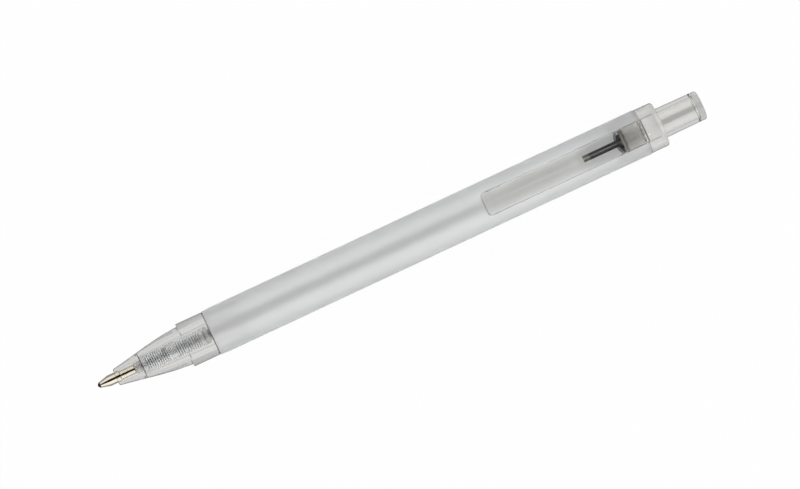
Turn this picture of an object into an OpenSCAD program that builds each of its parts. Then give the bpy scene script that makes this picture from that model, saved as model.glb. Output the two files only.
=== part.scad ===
// Retractable ballpoint pen with a push button, lying on its side with the clip up.
// Every piece is drawn standing on the ball, with the clip towards +X, and is then laid down along X.
// Stations, whose names end in _s, are measured along the pen from the front of the ball.

/* [Writing point] */
// Diameter of the writing ball
ball_d = 1; // [0.5:0.1:1.4]
// Share of the ball's diameter that stands out of its socket
ball_show_share = 0.3; // [0.2:0.05:0.4]
// Widest diameter of the metal point
tip_d = 2.4; // [2.1:0.1:2.8]
// Length of the ball and the cone behind it
tip_cone_l = 2.6; // [2:0.1:3.2]
// Length from the front of the ball to the end of the wide head
tip_head_l = 5.4; // [5:0.1:6]
// Length of the narrow shank behind the head
tip_shank_l = 3.4; // [2.5:0.1:4]
// Diameter of the narrow shank
tip_shank_d = 2.04; // [1.9:0.02:2.1]
// Length of the stem that is pressed into the holder
tip_stem_l = 3.7; // [2:0.1:5]
// Diameter of that stem
tip_stem_d = 1.6; // [1.3:0.1:1.7]
// Diameter of the ink channel
channel_d = 0.6; // [0.3:0.1:0.8]

/* [Refill] */
// Diameter of the holder between the metal point and the ink tube
holder_d = 2.5; // [2.3:0.1:2.8]
// Length of the holder in front of its spring flange
holder_l = 16.3; // [14:0.1:18]
// Diameter of the spring flange
flange_d = 3.8; // [3.6:0.1:4.2]
// Thickness of the spring flange
flange_t = 0.8; // [0.5:0.1:1.5]
// Length of the plug that the ink tube is pushed over
plug_l = 2.6; // [1.5:0.1:5]
// Outer diameter of the ink tube
tube_d = 3; // [2.8:0.1:3.4]
// Bore of the ink tube
tube_bore_d = 2; // [1.6:0.1:2.2]
// Length of the tube behind the ink column that holds none
tube_empty_l = 7; // [4:0.5:60]

/* [Spring] */
// Outer diameter of the spring
spring_d = 3.9; // [3.6:0.1:4.2]
// Diameter of the spring wire
wire_d = 0.3; // [0.25:0.01:0.34]
// Pitch of the close coils
coil_pitch = 0.76; // [0.75:0.01:0.8]
// Number of close coils at the front
front_turns = 6; // [4:1:7]
// Number of wide coils between the two close groups
open_turns = 2; // [1:1:3]
// Number of close coils at the rear
rear_turns = 8; // [5:1:9]

/* [Nose cone] */
// Distance that the point stands out of the nose cone when it writes
tip_reach = 4.3; // [3.5:0.1:5]
// Length of the tapered part
cone_l = 16.1; // [14:0.1:18]
// Diameter at the front, before the rim is rounded
nose_tip_d = 3.75; // [3.4:0.05:4.4]
// How far the side of the taper bulges out past a straight line, two thirds of the way back
nose_bulge = 0.26; // [0.1:0.02:0.34]
// Radius of the front rim
nose_rim_r = 0.3; // [0.2:0.05:0.4]
// Length of the narrow bore that guides the point
land_l = 1; // [0.8:0.1:1.4]
// Diameter of the wider bore behind it
throat_d = 3.2; // [3:0.1:3.4]
// Distance from the front of the nose cone to the spring seat
seat_depth = 6; // [5:0.1:7]
// Growth of the spring bore's radius towards the rear
bore_draft = 0.6; // [0.2:0.05:0.8]
// Height of the step where the taper meets the wide collar
nose_step = 0.58; // [0.3:0.02:0.6]
// Length of the wide collar
nose_collar_l = 6.1; // [5:0.1:8]
// Length of the spigot inside the barrel
nose_spigot_l = 7.5; // [5:0.1:10]

/* [Barrel] */
// Length of the barrel between the nose cone and the cap
barrel_l = 101.7; // [90:0.1:115]
// Wall of the barrel
barrel_wall = 0.85; // [0.7:0.05:1.1]
// Height of the front edge of the barrel over the nose collar
rim_step = 0.07; // [0.01:0.01:0.1]
// Length of the bevel at the barrel's front
front_bevel_l = 2; // [1:0.1:3]
// Length of the window under the clip's root, up to the rear edge
window_l = 6.9; // [6.2:0.1:8]
// Half of the angle that the window takes out of the round barrel
window_angle = 28.8; // [24:0.2:30]
// Radius of the window's arched front
arch_r = 3.3; // [3.1:0.1:4]
// Width of the slot in front of the window
slot_w = 1.35; // [1:0.05:1.7]
// Length of the slot
slot_l = 7.5; // [6:0.1:9]

/* [Cap and clip] */
// Length of the cap's collar behind the barrel
collar_l = 4.2; // [3.5:0.1:5]
// How much less the collar's radius is than the barrel's
collar_step = 0.1; // [0:0.01:0.2]
// Radius of the collar's rear edge
collar_rim_r = 0.5; // [0.3:0.05:0.7]
// Length of the guide sleeve inside the barrel
sleeve_l = 4.8; // [4.5:0.1:6]
// Wall of the guide sleeve
sleeve_wall = 0.4; // [0.35:0.05:0.8]
// Height of the guide ribs inside the sleeve
guide_rib_h = 0.4; // [0.35:0.05:0.6]
// Width of the grooves between the guide ribs
groove_w = 2.6; // [2.4:0.1:3]
// Length of the lip that stops the button's lugs
stop_lip_l = 1; // [0.8:0.1:1.3]
// Width of the clip
clip_w = 5.35; // [4.5:0.05:5.6]
// Length of the clip in front of the collar
clip_l = 37.7; // [30:0.1:45]
// Thickness of the clip
clip_t = 1.2; // [1:0.05:1.5]
// Gap between the clip and the barrel at the clip's root
clip_gap = 1.25; // [1.2:0.05:2]
// How much lower the clip's free end is than its root
clip_drop = 0.5; // [0.2:0.05:0.7]
// Radius of the corners at the free end
clip_corner_r = 1; // [0.6:0.1:1.5]
// Height of the ridge along the middle of the clip over its edges
clip_ridge_h = 0.25; // [0.1:0.05:0.4]
// Length of the foot under the free end
foot_l = 4.6; // [2:0.1:5]

/* [Push button] */
// Diameter of the push button
button_d = 6.7; // [6.2:0.1:7.2]
// Length of the button that stands out of the cap while the pen writes
button_out = 9.7; // [8:0.1:12]
// Wall of the hollow button
button_wall = 0.85; // [0.6:0.05:1]
// Thickness of the button's closed end
button_roof = 1.3; // [1:0.1:2.5]
// Radius that the button loses towards its end
button_draft = 0.1; // [0:0.02:0.2]
// Radius of the button's end edge
button_rim_r = 0.5; // [0.3:0.05:0.8]
// Length of the lugs that run in the cap's grooves
lug_l = 1.8; // [1.2:0.1:2]
// Width of the lugs and of the rotor's ribs
lug_w = 1.6; // [1.2:0.1:2]

/* [Mechanism] */
// Travel of the point from writing to drawn in
retract = 5.2; // [4.7:0.1:5.5]
// Length of the rotor in front of the guide sleeve
rotor_l = 7.8; // [6.5:0.1:8.2]
// Diameter of the rotor's body
rotor_d = 4.4; // [4.2:0.1:4.8]
// Depth of the socket that takes the end of the ink tube
socket_l = 3; // [2:0.1:3.4]
// Length of the rotor's ribs and flange
rotor_rib_l = 2.2; // [2:0.1:2.6]
// Height of the crown teeth
tooth_h = 0.75; // [0.5:0.05:0.9]
// Rise of the slanted ends of the ribs
ramp_h = 0.8; // [0.5:0.05:1]

/* [Clearances] */
// Radial gap between the button or the rotor and what guides them
slide_gap = 0.08; // [0.05:0.01:0.12]
// Radial gap at joints that are pushed together for good
fit_gap = 0.03; // [0.02:0.01:0.04]
// Gap between pieces that rest against each other and move apart
rest_gap = 0.3; // [0.2:0.05:0.35]
// Gap between the spring and its flange
spring_gap = 0.05; // [0.02:0.01:0.1]
// Gap between the clip's foot and the barrel
foot_gap = 0.1; // [0.05:0.05:0.3]
// Gap between a stop and the lug that meets it
stop_gap = 0.2; // [0.1:0.05:0.3]

/* [Hidden] */
$fn = 96;
// Overrun of every cut
cut = 0.5;

// Radii of the guide train, worked out from the button outwards
button_r = button_d / 2;
guide_r = button_r + slide_gap;
groove_r = guide_r + guide_rib_h;
sleeve_r = groove_r + sleeve_wall;
bore_r = sleeve_r + fit_gap;
barrel_r = bore_r + barrel_wall;
lug_r = groove_r - slide_gap;
collar_r = barrel_r - collar_step;
nose_collar_r = barrel_r - collar_step - rim_step;
window_w = 2 * barrel_r * sin(window_angle);
button_bore_r = button_r - button_wall;

// Stations along the pen
step_s = tip_reach + cone_l;
joint_s = step_s + nose_collar_l;
cap_s = joint_s + barrel_l;
end_s = cap_s + collar_l;
pen_l = end_s + button_out;
seat_s = tip_reach + seat_depth;
tip_shank_s = tip_head_l + tip_shank_l;
flange_s = tip_shank_s + holder_l;
tube_s = flange_s + flange_t;
sleeve_s = cap_s - sleeve_l;
rotor_s = sleeve_s - rotor_l;
tube_end_s = rotor_s + socket_l - fit_gap;
arch_s = cap_s - window_l;
slot_s = arch_s - slot_l;
clip_s = cap_s - clip_l;
stop_s = end_s - stop_lip_l;
lug_s = stop_s - stop_gap - retract - lug_l;

// Small sizes that only one piece uses
ball_r = ball_d / 2;
ball_gap = 0.02;
lip_wall = 0.1;
edge_bevel = 0.15;
crown_count = 8;
rib_count = 4;

// The snap bead that holds the nose cone and the cap in the barrel
bead_h = 0.12;
bead_l = 0.8;

module lay()
    translate([-pen_l / 2, 0, barrel_r]) rotate([0, 90, 0]) rotate([0, 0, 180]) children();

// A round piece from its outline of [radius, station] points
module turned(outline) rotate_extrude() polygon(outline);

// Points of a rounded corner with its centre at [radius, station], swept between two angles
function corner(centre, r, from, to, steps = 6) = [
    for (i = [0 : steps])
        let (a = from + (to - from) * i / steps) centre + r * [cos(a), sin(a)]
];

// A flat shape in [across, station], cut or built outwards along +X
module towards_clip(from, height)
    translate([from, 0, 0]) rotate([90, 0, 90]) linear_extrude(height) children();

// A flat shape in [height, station], as wide as asked across the pen
module across(width) rotate([90, 0, 0]) linear_extrude(width, center = true) children();

module bead(r, station, grow)
    turned([
        [r - bead_h, station - bead_l / 2 - grow],
        [r, station - bead_l / 2 - grow],
        [r + bead_h + grow, station - bead_l / 4],
        [r + bead_h + grow, station + bead_l / 4],
        [r, station + bead_l / 2 + grow],
        [r - bead_h, station + bead_l / 2 + grow]
    ]);

nose_bead_s = joint_s + nose_spigot_l / 2;
cap_bead_s = cap_s - bead_l;

module writing_ball() color("dimgray") lay() translate([0, 0, ball_r]) sphere(ball_r);

module point() {
    lip_s = ball_show_share * ball_d;
    lip_r = sqrt(pow(ball_r, 2) - pow(ball_r - lip_s, 2)) + lip_wall;
    color("tan") lay() difference() {
        turned([
            [0, lip_s], [lip_r, lip_s], [tip_d / 2, tip_cone_l], [tip_d / 2, tip_head_l - edge_bevel],
            [tip_shank_d / 2, tip_head_l], [tip_shank_d / 2, tip_shank_s - edge_bevel],
            [tip_shank_d / 2 - edge_bevel, tip_shank_s], [tip_stem_d / 2, tip_shank_s],
            [tip_stem_d / 2, tip_shank_s + tip_stem_l], [0, tip_shank_s + tip_stem_l]
        ]);
        translate([0, 0, ball_r]) sphere(ball_r + ball_gap);
        translate([0, 0, ball_r]) cylinder(d = channel_d, h = tip_shank_s + tip_stem_l);
    }
}

module tip_holder() {
    plug_r = tube_bore_d / 2 - fit_gap;
    color("whitesmoke") lay() difference() {
        turned([
            [0, tip_shank_s], [holder_d / 2 - edge_bevel, tip_shank_s],
            [holder_d / 2, tip_shank_s + edge_bevel], [holder_d / 2, flange_s],
            [flange_d / 2, flange_s], [flange_d / 2, tube_s], [plug_r, tube_s],
            [plug_r, tube_s + plug_l], [0, tube_s + plug_l]
        ]);
        translate([0, 0, tip_shank_s - cut])
            cylinder(d = tip_stem_d + 2 * fit_gap, h = tip_stem_l + cut + fit_gap);
        translate([0, 0, tip_shank_s]) cylinder(d = channel_d, h = pen_l);
    }
}

module ink_tube()
    color("gainsboro") lay() difference() {
        translate([0, 0, tube_s]) cylinder(d = tube_d, h = tube_end_s - tube_s);
        translate([0, 0, tube_s - cut]) cylinder(d = tube_bore_d, h = tube_end_s - tube_s + 2 * cut);
    }

module ink() {
    ink_s = tube_s + plug_l + fit_gap;
    color("black") lay() translate([0, 0, ink_s])
        cylinder(d = tube_bore_d - 2 * fit_gap, h = tube_end_s - tube_empty_l - ink_s);
}

// The spring is one wire. It leaves each seat along the pen for one wire diameter, bends into the
// coils, and winds with a close group at the front, wide coils, and a close group at the rear.
coil_r = spring_d / 2 - wire_d / 2;
bend_r = wire_d * 1.2;
coils_s = seat_s + wire_d + bend_r;
coils_end_s = flange_s - spring_gap - wire_d - bend_r;
open_pitch = (coils_end_s - coils_s - (front_turns + rear_turns) * coil_pitch) / open_turns;
rings_per_turn = 8;
wire_sides = 6;
bend_steps = 3;
turn_count = front_turns + open_turns + rear_turns;

function climb(turn) =
    coil_pitch * min(turn, front_turns)
    + open_pitch * max(0, min(turn - front_turns, open_turns))
    + coil_pitch * max(0, turn - front_turns - open_turns);
function around(angle, station) = [coil_r * cos(angle), coil_r * sin(angle), station];
function bend_angle(a) = bend_r * sin(a) / coil_r * 180 / PI;
// One end of the wire as [degrees, distance from the seat] pairs: the straight leg and the bend
end_steps = concat(
    [[0, 0], [0, wire_d]],
    [for (i = [1 : bend_steps])
        let (a = 90 * i / bend_steps) [bend_angle(90) - bend_angle(90 - a), wire_d + bend_r * sin(a)]]
);
end_turn = bend_angle(90);
wire_path = concat(
    [for (e = end_steps) around(e[0], seat_s + e[1])],
    [for (i = [1 : turn_count * rings_per_turn - 1])
        let (t = i / rings_per_turn) around(end_turn + 360 * t, coils_s + climb(t))],
    [for (k = [len(end_steps) - 1 : -1 : 0])
        around(2 * end_turn - end_steps[k][0], flange_s - spring_gap - end_steps[k][1])]
);
wire_last = len(wire_path) - 1;
function unit(v) = v / norm(v);
function heading(i) =
    i <= 1 || i >= wire_last - 1 ? [0, 0, 1] : unit(wire_path[i + 1] - wire_path[i - 1]);
function wire_ring(i) =
    let (
        centre = wire_path[i],
        along = heading(i),
        outward = unit([centre[0], centre[1], 0]),
        side = unit(cross(along, outward)),
        out = cross(side, along)
    )
    [for (k = [0 : wire_sides - 1])
        let (a = 360 * k / wire_sides) centre + wire_d / 2 * (cos(a) * out + sin(a) * side)];

// Least gap between stretches of the wire that are at least half a turn apart
half_turn = rings_per_turn / 2;
spring_least_gap = min([
    for (i = [0 : wire_last - half_turn])
        for (j = [i + half_turn : min(wire_last, i + 2 * rings_per_turn)])
            norm(wire_path[i] - wire_path[j]) - wire_d
]);
echo(spring_least_gap = spring_least_gap);

module spring()
    color("silver") lay() polyhedron(
        points = [for (i = [0 : wire_last]) each wire_ring(i)],
        faces = concat(
            [[for (k = [0 : wire_sides - 1]) k]],
            [for (i = [0 : wire_last - 1]) for (k = [0 : wire_sides - 1])
                let (a = i * wire_sides + k, b = i * wire_sides + (k + 1) % wire_sides)
                each [[a, a + wire_sides, b], [b, a + wire_sides, b + wire_sides]]],
            [[for (k = [wire_sides - 1 : -1 : 0]) wire_last * wire_sides + k]]
        )
    );

module nose_cone() {
    profile_steps = 20;
    back_r = nose_collar_r - nose_step;
    bulge_scale = 27 / 4;
    function taper_r(u) =
        nose_tip_d / 2 + (back_r - nose_tip_d / 2) * u + bulge_scale * nose_bulge * u * u * (1 - u);
    function taper_s(u) = tip_reach + u * cone_l;
    rim_u = nose_rim_r / cone_l;
    rim_centre = [taper_r(rim_u) - nose_rim_r, tip_reach + nose_rim_r];
    land_r = tip_d / 2 + slide_gap;
    throat_s = tip_reach + land_l;
    spring_bore_r = spring_d / 2 + 2 * slide_gap;
    spigot_s = joint_s + nose_spigot_l;
    outline = concat(
        [[land_r, tip_reach]],
        corner(rim_centre, nose_rim_r, -90, 0),
        [for (i = [1 : profile_steps]) let (u = i / profile_steps) [taper_r(u), taper_s(u)]],
        corner([nose_collar_r - edge_bevel, step_s + edge_bevel], edge_bevel, -90, 0),
        [
            [nose_collar_r, joint_s], [sleeve_r, joint_s], [sleeve_r, spigot_s - edge_bevel],
            [sleeve_r - edge_bevel, spigot_s], [spring_bore_r + bore_draft, spigot_s],
            [spring_bore_r, seat_s], [throat_d / 2, seat_s],
            [throat_d / 2, throat_s + throat_d / 2 - land_r], [land_r, throat_s]
        ]
    );
    color("lightgray") lay() {
        turned(outline);
        bead(sleeve_r, nose_bead_s, 0);
    }
}

module keyhole() {
    arch_centre_s = arch_s + arch_r;
    translate([-slot_w / 2, slot_s]) square([slot_w, slot_l + arch_r]);
    intersection() {
        union() {
            translate([0, arch_centre_s]) circle(arch_r);
            translate([-arch_r, arch_centre_s]) square([2 * arch_r, window_l]);
        }
        translate([-window_w / 2, arch_s]) square([window_w, window_l + cut]);
    }
}

module barrel() color("aliceblue") lay() difference() {
    turned([
        [bore_r, joint_s], [nose_collar_r + rim_step, joint_s], [barrel_r, joint_s + front_bevel_l],
        [barrel_r, cap_s], [bore_r, cap_s]
    ]);
    bead(bore_r, nose_bead_s, fit_gap);
    bead(bore_r, cap_bead_s, fit_gap);
    towards_clip(0, barrel_r + cut) keyhole();
}

// The clip: its side view, its plan and its ridged section, all three overlaid
clip_top = barrel_r + clip_gap + clip_t;
clip_root_s = end_s - collar_rim_r;
clip_angle = atan(clip_drop / (clip_root_s - clip_s));

module clip_side() {
    root_round_l = collar_l - collar_rim_r;
    root_base = collar_r - sleeve_wall;
    root_steps = 10;
    root_flare = 3;
    fillet_r = clip_gap;
    under_root = clip_top - clip_t;
    under_free = under_root - clip_drop;
    foot_s = clip_s + clip_corner_r;
    foot_h = under_free - barrel_r - foot_gap;
    foot_steps = 10;
    polygon(concat(
        [[clip_top - clip_drop, clip_s], [clip_top, clip_root_s - root_round_l]],
        [for (i = [1 : root_steps])
            let (a = 90 * i / root_steps)
            [root_base + (clip_top - root_base) * pow(cos(a), root_flare),
             clip_root_s - root_round_l * (1 - sin(a))]],
        [[root_base, cap_s], [barrel_r, cap_s]],
        corner([barrel_r, cap_s - fillet_r], fillet_r, 90, 0),
        [for (i = [0 : foot_steps])
            let (a = 180 * i / foot_steps)
            [under_free - foot_h * pow(sin(a), 2), foot_s + foot_l * (1 - i / foot_steps)]],
        [[under_free, clip_s]]
    ));
}

module clip_plan() {
    translate([-clip_w / 2, clip_s + clip_corner_r])
        square([clip_w, end_s - clip_s]);
    translate([-clip_w / 2 + clip_corner_r, clip_s])
        square([clip_w - 2 * clip_corner_r, 2 * clip_corner_r]);
    for (side = [-1, 1])
        translate([side * (clip_w / 2 - clip_corner_r), clip_s + clip_corner_r]) circle(clip_corner_r);
}

module clip_section()
    translate([clip_top, 0, clip_root_s]) rotate([0, clip_angle, 0])
        translate([0, 0, -pen_l / 2]) linear_extrude(pen_l)
            polygon([
                [-clip_top, -clip_w], [-2 * clip_ridge_h, -clip_w], [0, 0],
                [-2 * clip_ridge_h, clip_w], [-clip_top, clip_w]
            ]);

module clip() intersection() {
    across(2 * clip_w) clip_side();
    towards_clip(0, 2 * clip_top) clip_plan();
    clip_section();
}

// Four copies of a shape, a quarter turn apart
module quarters() for (k = [0 : rib_count - 1]) rotate(360 / rib_count * k) children();

// A ring of saw teeth: points is one tooth seen from outside, as [across, station]
module ring_of_teeth(inner_r, outer_r, count, points)
    intersection() {
        turned([
            [inner_r, 0], [outer_r, 0], [outer_r, pen_l], [inner_r, pen_l]
        ]);
        for (k = [0 : count - 1]) rotate(360 / count * k)
            towards_clip(0, 2 * outer_r) polygon(points);
    }

module clip_cap() {
    rib_across = groove_r;
    outline = concat(
        [[guide_r, sleeve_s]],
        corner([sleeve_r - sleeve_wall / 2, sleeve_s + sleeve_wall / 2], sleeve_wall / 2, -90, 0),
        [[sleeve_r, cap_s], [collar_r, cap_s]],
        corner([collar_r - collar_rim_r, end_s - collar_rim_r], collar_rim_r, 0, 90),
        [[guide_r, end_s]]
    );
    color("silver") lay() {
        difference() {
            turned(outline);
            intersection() {
                translate([0, 0, sleeve_s - cut]) cylinder(r = groove_r, h = stop_s - sleeve_s + cut);
                quarters() translate([0, -groove_w / 2, sleeve_s - cut])
                    cube([2 * groove_r, groove_w, pen_l]);
            }
            intersection() {
                translate([0, 0, sleeve_s - cut]) cylinder(r = groove_r, h = stop_s - sleeve_s + cut);
                rotate(180 / rib_count) quarters() towards_clip(0, 2 * groove_r) polygon([
                    [-rib_across / 2, sleeve_s - cut], [rib_across / 2, sleeve_s - cut],
                    [rib_across / 2, sleeve_s], [-rib_across / 2, sleeve_s + ramp_h]
                ]);
            }
        }
        difference() {
            bead(sleeve_r, cap_bead_s, 0);
            towards_clip(0, 2 * barrel_r) keyhole();
        }
        clip();
    }
}

module rotor() {
    tooth_outer_r = button_r - slide_gap;
    rib_end_s = sleeve_s - rest_gap;
    rib_s = rib_end_s - rotor_rib_l;
    base_s = rib_end_s - tooth_h;
    pitch = 2 * tooth_outer_r * tan(180 / crown_count);
    color("dimgray") lay() difference() {
        union() {
            translate([0, 0, rotor_s]) cylinder(d = rotor_d, h = base_s - rotor_s);
            translate([0, 0, rib_s]) cylinder(r = tooth_outer_r, h = base_s - rib_s);
            intersection() {
                translate([0, 0, rib_s]) cylinder(r = lug_r, h = rotor_rib_l);
                quarters() towards_clip(rotor_d / 2, lug_r) polygon([
                    [-lug_w / 2, rib_s], [lug_w / 2, rib_s],
                    [lug_w / 2, rib_end_s - ramp_h * lug_w / groove_r], [-lug_w / 2, rib_end_s]
                ]);
            }
            ring_of_teeth(button_bore_r, tooth_outer_r, crown_count, [
                [-pitch / 2, base_s - cut], [pitch / 2, base_s - cut],
                [pitch / 2, base_s], [-pitch / 2, base_s + tooth_h]
            ]);
        }
        translate([0, 0, rotor_s - cut]) cylinder(d = tube_d + 2 * fit_gap, h = socket_l + cut);
    }
}

module push_button() {
    crown_s = sleeve_s;
    body_s = crown_s + tooth_h;
    end_r = button_r - button_draft;
    pitch = 2 * button_r * tan(180 / crown_count);
    outline = concat(
        [[0, body_s], [button_r, body_s], [button_r, end_s]],
        corner([end_r - button_rim_r, pen_l - button_rim_r], button_rim_r, 0, 90),
        [[0, pen_l]]
    );
    color("gainsboro") lay() difference() {
        union() {
            turned(outline);
            ring_of_teeth(button_bore_r, button_r, crown_count, [
                [-pitch / 2, crown_s], [pitch / 2, crown_s + tooth_h],
                [pitch / 2, body_s + cut], [-pitch / 2, body_s + cut]
            ]);
            intersection() {
                translate([0, 0, lug_s]) cylinder(r = lug_r, h = lug_l);
                quarters() translate([button_bore_r + button_wall / 2, -lug_w / 2, lug_s])
                    cube([lug_r, lug_w, lug_l]);
            }
        }
        translate([0, 0, crown_s - cut])
            cylinder(r = button_bore_r, h = pen_l - button_roof - crown_s + cut);
    }
}

writing_ball();
point();
tip_holder();
ink_tube();
ink();
spring();
nose_cone();
barrel();
clip_cap();
rotor();
push_button();
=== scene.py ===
import math

import bmesh
import bpy
from mathutils import Matrix, Vector


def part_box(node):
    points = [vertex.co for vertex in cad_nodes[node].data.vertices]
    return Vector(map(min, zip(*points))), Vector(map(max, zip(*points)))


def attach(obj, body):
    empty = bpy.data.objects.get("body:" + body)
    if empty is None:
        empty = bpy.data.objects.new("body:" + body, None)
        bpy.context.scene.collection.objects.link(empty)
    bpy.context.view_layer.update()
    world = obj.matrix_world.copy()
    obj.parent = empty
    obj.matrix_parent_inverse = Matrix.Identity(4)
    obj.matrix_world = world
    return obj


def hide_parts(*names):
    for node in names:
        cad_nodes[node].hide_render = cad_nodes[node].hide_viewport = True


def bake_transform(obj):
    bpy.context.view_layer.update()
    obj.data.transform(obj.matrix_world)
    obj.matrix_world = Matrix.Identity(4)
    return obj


# Looks of the retractable ballpoint pen. Radii, heights and stations are in millimetres. A station
# is measured along the pen from the front of the ball, and a height from the pen's axis.

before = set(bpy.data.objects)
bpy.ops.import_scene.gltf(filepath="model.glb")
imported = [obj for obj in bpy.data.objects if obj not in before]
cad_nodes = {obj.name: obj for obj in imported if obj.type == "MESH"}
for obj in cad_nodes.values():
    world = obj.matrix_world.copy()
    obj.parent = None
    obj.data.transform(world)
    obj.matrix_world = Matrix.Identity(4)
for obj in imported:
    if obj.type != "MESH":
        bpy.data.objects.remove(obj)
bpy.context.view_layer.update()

MM = 0.001
TIP_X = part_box("writing_ball")[0].x
BARREL_LOW, BARREL_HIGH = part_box("barrel")
AXIS_Z = (BARREL_LOW.z + BARREL_HIGH.z) / 2
SEGMENTS = 192
WIDE_SEGMENTS = 250
SHARP_ANGLE = math.radians(32)

# Radii
BARREL_R = 5.11
BORE_R = 4.26
SLEEVE_R = 4.23
GROOVE_R = 3.83
GUIDE_R = 3.43
COLLAR_R = 5.01
NOSE_COLLAR_R = 4.94
BUTTON_R = 3.35
BUTTON_BORE_R = 2.5
LUG_R = 3.75

# Stations
NOSE_S = 4.3
SEAT_S = 10.3
RING_S = 10.35
STEP_S = 20.4
JOINT_S = 26.5
SPIGOT_S = 34.0
CLIP_S = 90.5
SLEEVE_S = 123.4
CAP_S = 128.2
STOP_S = 131.4
END_S = 132.4
PEN_L = 142.1

# Small edges
EDGE_BEVEL = 0.12
EDGE_R = 0.15

# How far a cutter reaches past an end and below a wall
CUTTER_PAST = 1
CUTTER_DEEP = 0.8

# How close to a wall or an end the middle of a face still counts as lying on it
ON_WALL = 0.02
NEAR_WALL = 0.03
END_TOL = 0.05


def place(radius, angle, station):
    """The point in the row frame, in metres. Angle 0 is the side of the clip."""
    return Vector((
        TIP_X + station * MM,
        -radius * math.sin(angle) * MM,
        AXIS_Z + radius * math.cos(angle) * MM,
    ))


def over(across, height, station):
    """The point at a distance across the pen and a height over its axis."""
    return Vector((TIP_X + station * MM, across * MM, AXIS_Z + height * MM))


# Camera: it stands high over the front part of the pen. Its lengths are in metres
CAMERA_HEIGHT = 1.17
CAMERA_X = -0.044
PEN_TILT = math.radians(25.02)
VIEW_WIDTH = 0.17067
TARGET = Vector((0, 0.0001, AXIS_Z))


def make_camera():
    data = bpy.data.cameras.new("camera")
    camera = bpy.data.objects.new("camera", data)
    bpy.context.scene.collection.objects.link(camera)
    location = Vector((CAMERA_X, TARGET.y, AXIS_Z + CAMERA_HEIGHT))
    back = (location - TARGET).normalized()
    along = (Vector((1, 0, 0)) - back * back.x).normalized()
    side = back.cross(along)
    right = along * math.cos(PEN_TILT) - side * math.sin(PEN_TILT)
    up = along * math.sin(PEN_TILT) + side * math.cos(PEN_TILT)
    turn = Matrix((right, up, back)).transposed().to_4x4()
    camera.matrix_world = Matrix.Translation(location) @ turn
    data.sensor_width = 36
    data.lens = data.sensor_width * (location - TARGET).length / VIEW_WIDTH
    data.clip_start = 0.05
    data.clip_end = 20
    bpy.context.scene.camera = camera


make_camera()


# Node helpers
def add(tree, kind, inputs=None, **settings):
    """A new node, with its sockets set or linked."""
    made = tree.nodes.new(kind)
    for name, value in settings.items():
        setattr(made, name, value)
    for name, value in (inputs or {}).items():
        if isinstance(value, bpy.types.NodeSocket):
            tree.links.new(value, made.inputs[name])
        else:
            made.inputs[name].default_value = value
    return made


def maths(tree, operation, a, b=0.0):
    return add(tree, "ShaderNodeMath", {0: a, 1: b}, operation=operation).outputs[0]


def between(tree, value, low, high, start=0.0, end=1.0, kind="LINEAR"):
    """The value taken from the range start to end into the range low to high."""
    inputs = {"Value": value, "From Min": start, "From Max": end, "To Min": low, "To Max": high}
    return add(tree, "ShaderNodeMapRange", inputs, interpolation_type=kind).outputs["Result"]


def blended(tree, share, first, second):
    """A colour between two colours, each a socket or three numbers."""
    made = add(tree, "ShaderNodeMix", data_type="RGBA")
    sockets = {s.identifier: s for s in made.inputs}
    for name, value in (("Factor_Float", share), ("A_Color", first), ("B_Color", second)):
        if isinstance(value, bpy.types.NodeSocket):
            tree.links.new(value, sockets[name])
        else:
            sockets[name].default_value = (*value, 1)
    return next(s for s in made.outputs if s.identifier == "Result_Color")


def places(tree, stretch=(1, 1, 1)):
    """Coordinates on the piece in millimetres, stretched by three factors."""
    spot = add(tree, "ShaderNodeTexCoord").outputs["Object"]
    scale = [f / MM for f in stretch]
    inputs = {"Vector": spot, "Scale": scale}
    return add(tree, "ShaderNodeMapping", inputs).outputs["Vector"]


def noise(tree, spot, size, detail=2.0):
    """Noise with features of about the given size in millimetres."""
    inputs = {"Vector": spot, "Scale": 1 / size, "Detail": detail}
    return add(tree, "ShaderNodeTexNoise", inputs).outputs["Fac"]


def bump(tree, height, depth, normal=None):
    """A bump whose full height is depth millimetres."""
    inputs = {"Height": height, "Strength": 1.0, "Distance": depth * MM}
    if normal is not None:
        inputs["Normal"] = normal
    return add(tree, "ShaderNodeBump", inputs).outputs["Normal"]


def rim_shaded(tree, colour, rim_shade, start, end):
    """The colour, darkened to the rim's painted shade colour where the surface turns away."""
    facing = add(tree, "ShaderNodeLayerWeight", {"Blend": 0.5}).outputs["Facing"]
    share = between(tree, facing, 0.0, 1.0, start, end, "SMOOTHSTEP")
    return blended(tree, share, colour, rim_shade)


def station_of(tree):
    """The station of the shaded point."""
    x = add(tree, "ShaderNodeSeparateXYZ", {0: places(tree)}).outputs["X"]
    return maths(tree, "SUBTRACT", x, TIP_X / MM)


def station_shaded(tree, colour, seam_shade, stations, half_width):
    """The colour, darkened to a painted shade colour close to each of the stations."""
    here = station_of(tree)
    for station in stations:
        off = maths(tree, "ABSOLUTE", maths(tree, "SUBTRACT", here, station))
        share = between(tree, off, 1.0, 0.0, half_width / 2, half_width, "SMOOTHSTEP")
        colour = blended(tree, share, colour, seam_shade)
    return colour


def new_material(name):
    made = bpy.data.materials.new(name)
    made.use_nodes = True
    made.node_tree.nodes.clear()
    return made, made.node_tree


def finished(tree, shader):
    add(tree, "ShaderNodeOutputMaterial", {"Surface": shader})


def lit_through(tree, shader, tint):
    """The shader, except that lamps shine through it."""
    is_shadow = add(tree, "ShaderNodeLightPath").outputs["Is Shadow Ray"]
    clear = add(tree, "ShaderNodeBsdfTransparent", {"Color": (*tint, 1)}).outputs[0]
    return add(tree, "ShaderNodeMixShader", {0: is_shadow, 1: shader, 2: clear}).outputs[0]


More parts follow.
